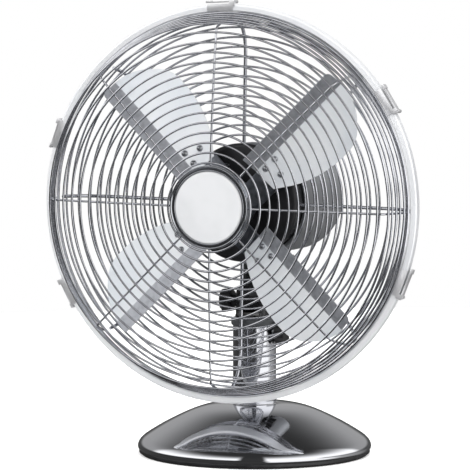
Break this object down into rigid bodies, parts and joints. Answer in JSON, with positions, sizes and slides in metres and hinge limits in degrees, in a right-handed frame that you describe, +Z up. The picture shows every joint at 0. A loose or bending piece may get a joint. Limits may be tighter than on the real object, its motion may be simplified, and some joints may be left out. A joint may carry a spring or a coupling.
{
  "type": "desk fan",
  "caption": "Oscillating desk fan with a round chrome wire cage, folded metal blades, can-shaped motor, tilting telescopic neck and domed weighted base.",
  "frame": {"origin": "centre of the flat underside of the base pad, on the column's axis", "axes": "+Z up along the column; the fan blows towards -Y, so its badge faces -Y and the motor's back faces +Y; +X is to the right when the fan is seen from its front, with -Y towards the viewer"},
  "size_m": [0.35, 0.2268, 0.4059],
  "materials": {
    "chrome": "polished chrome plate",
    "steel_wire": "bright chrome-plated wire",
    "blade_metal": "polished sheet",
    "spider_metal": "zinc-plated pressing",
    "black_plastic": "moulded, semi-gloss",
    "black_casting": "black enamel on die casting",
    "grey_plastic": "moulded",
    "badge": "gloss white",
    "rubber_pad": "matt",
    "cast_iron": "as cast",
    "steel": "bright zinc",
    "motor_chrome": "chrome-plated drawn steel",
    "cast_aluminium": "die cast",
    "laminations": "stacked silicon steel",
    "copper": "enamelled copper wire",
    "bronze": "sintered bronze",
    "nylon": "moulded nylon"
  },
  "bodies": {
    "base": {"base_pad": "rubber_pad", "base_tray": "black_plastic", "base_shell": "chrome", "ballast_weight": "cast_iron", "base_screws": "steel", "cord_gland": "black_plastic", "run_capacitor": "black_plastic", "tie_bolt": "steel", "column_tube": "chrome", "clamp_bush": "steel", "column_collar": "grey_plastic"},
    "mast": {"inner_post": "chrome", "tilt_yoke": "black_casting", "tilt_bolt": "steel"},
    "tilt_knob": {"tilt_knob": "black_plastic"},
    "height_knob": {"height_knob": "black_plastic", "height_knob_stud": "steel"},
    "neck": {"neck_casting": "black_casting", "pivot_bush": "bronze", "link_pin": "steel"},
    "link": {"link_arm": "steel"},
    "head": {"pivot_pin": "steel", "front_shield": "black_casting", "motor_housing": "motor_chrome", "stator_core": "laminations", "stator_windings": "copper", "shaft_bearings": "bronze", "rear_shield": "cast_aluminium", "gearbox_case": "cast_aluminium", "speed_switch": "black_plastic", "rear_plate": "black_plastic", "cage_screws": "steel", "rear_rings": "steel_wire", "rear_ribs": "steel_wire", "rim_band": "chrome", "front_face_rings": "steel_wire", "front_wall_rings": "steel_wire", "front_ribs": "steel_wire", "badge_bezel": "chrome", "badge_disc": "badge", "clip_brackets": "chrome"},
    "rotor": {"motor_shaft": "steel", "rotor_core": "laminations", "worm": "steel", "blade_spider": "spider_metal", "blade_1": "blade_metal", "blade_2": "blade_metal", "blade_3": "blade_metal", "blade_4": "blade_metal", "blade_rivets": "spider_metal"},
    "idler": {"idler_gear": "nylon"},
    "crank": {"crank": "steel", "output_gear": "nylon"},
    "clutch": {"clutch_knob": "black_plastic"},
    "speed_control": {"speed_knob": "black_plastic"},
    "clip_lever_1": {"clip_lever_1": "chrome"},
    "clip_lever_2": {"clip_lever_2": "chrome"},
    "clip_lever_3": {"clip_lever_3": "chrome"},
    "clip_lever_4": {"clip_lever_4": "chrome"},
    "clip_lever_5": {"clip_lever_5": "chrome"}
  },
  "joints": [
    {"name": "height_slide", "type": "slide", "parent": "base", "child": "mast", "axis": [0, 0, 1], "range_m": [0, 0.04]},
    {"name": "height_knob_turn", "type": "hinge", "parent": "base", "child": "height_knob", "pos_m": [0.026, 0, 0.11], "axis": [1, 0, 0], "range_deg": [0, 360]},
    {"name": "head_tilt", "type": "hinge", "parent": "mast", "child": "neck", "pos_m": [0, 0, 0.137], "axis": [-1, 0, 0], "range_deg": [-6, 20]},
    {"name": "tilt_knob_turn", "type": "hinge", "parent": "mast", "child": "tilt_knob", "pos_m": [-0.024, 0, 0.137], "axis": [-1, 0, 0], "range_deg": [0, 360]},
    {"name": "oscillation", "type": "hinge", "parent": "neck", "child": "head", "pos_m": [0, 0, 0.16], "axis": [0, 0, 1], "range_deg": [-32, 32]},
    {"name": "link_swing", "type": "hinge", "parent": "neck", "child": "link", "pos_m": [0.02, 0.007, 0.1636], "axis": [0, 0, 1], "range_deg": [-36, 36]},
    {"name": "fan_spin", "type": "hinge", "parent": "head", "child": "rotor", "pos_m": [0, -0.06, 0.227], "axis": [0, -1, 0], "continuous": true},
    {"name": "idler_spin", "type": "hinge", "parent": "head", "child": "idler", "pos_m": [0.0135, 0.073, 0.227], "axis": [0, 0, 1], "continuous": true},
    {"name": "crank_spin", "type": "hinge", "parent": "head", "child": "crank", "pos_m": [-0.006, 0.073, 0.17], "axis": [0, 0, 1], "continuous": true},
    {"name": "clutch_pull", "type": "slide", "parent": "head", "child": "clutch", "axis": [0, 0, 1], "range_m": [0, 0.006]},
    {"name": "speed_select", "type": "hinge", "parent": "head", "child": "speed_control", "pos_m": [0, 0.11, 0.227], "axis": [0, -1, 0], "range_deg": [0, 135]},
    {"name": "clip_release_1", "type": "hinge", "parent": "head", "child": "clip_lever_1", "pos_m": [0.00582, -0.0615, 0.40421], "axis": [0, 1, 0], "range_deg": [0, 60]},
    {"name": "clip_release_2", "type": "hinge", "parent": "head", "child": "clip_lever_2", "pos_m": [0.15638, -0.0615, 0.31057], "axis": [0, 1, 0], "range_deg": [0, 60]},
    {"name": "clip_release_3", "type": "hinge", "parent": "head", "child": "clip_lever_3", "pos_m": [0.16019, -0.0615, 0.151], "axis": [0, 1, 0], "range_deg": [0, 60]},
    {"name": "clip_release_4", "type": "hinge", "parent": "head", "child": "clip_lever_4", "pos_m": [-0.16183, -0.0615, 0.15455], "axis": [0, 1, 0], "range_deg": [0, 60]},
    {"name": "clip_release_5", "type": "hinge", "parent": "head", "child": "clip_lever_5", "pos_m": [-0.16213, -0.0615, 0.29878], "axis": [0, 1, 0], "range_deg": [0, 60]}
  ],
  "couplings": [
    {"joint": "link_swing", "follows": "oscillation", "ratio": 1.1},
    {"joint": "idler_spin", "follows": "fan_spin", "ratio": 0.05},
    {"joint": "crank_spin", "follows": "fan_spin", "ratio": -0.011111}
  ]
}
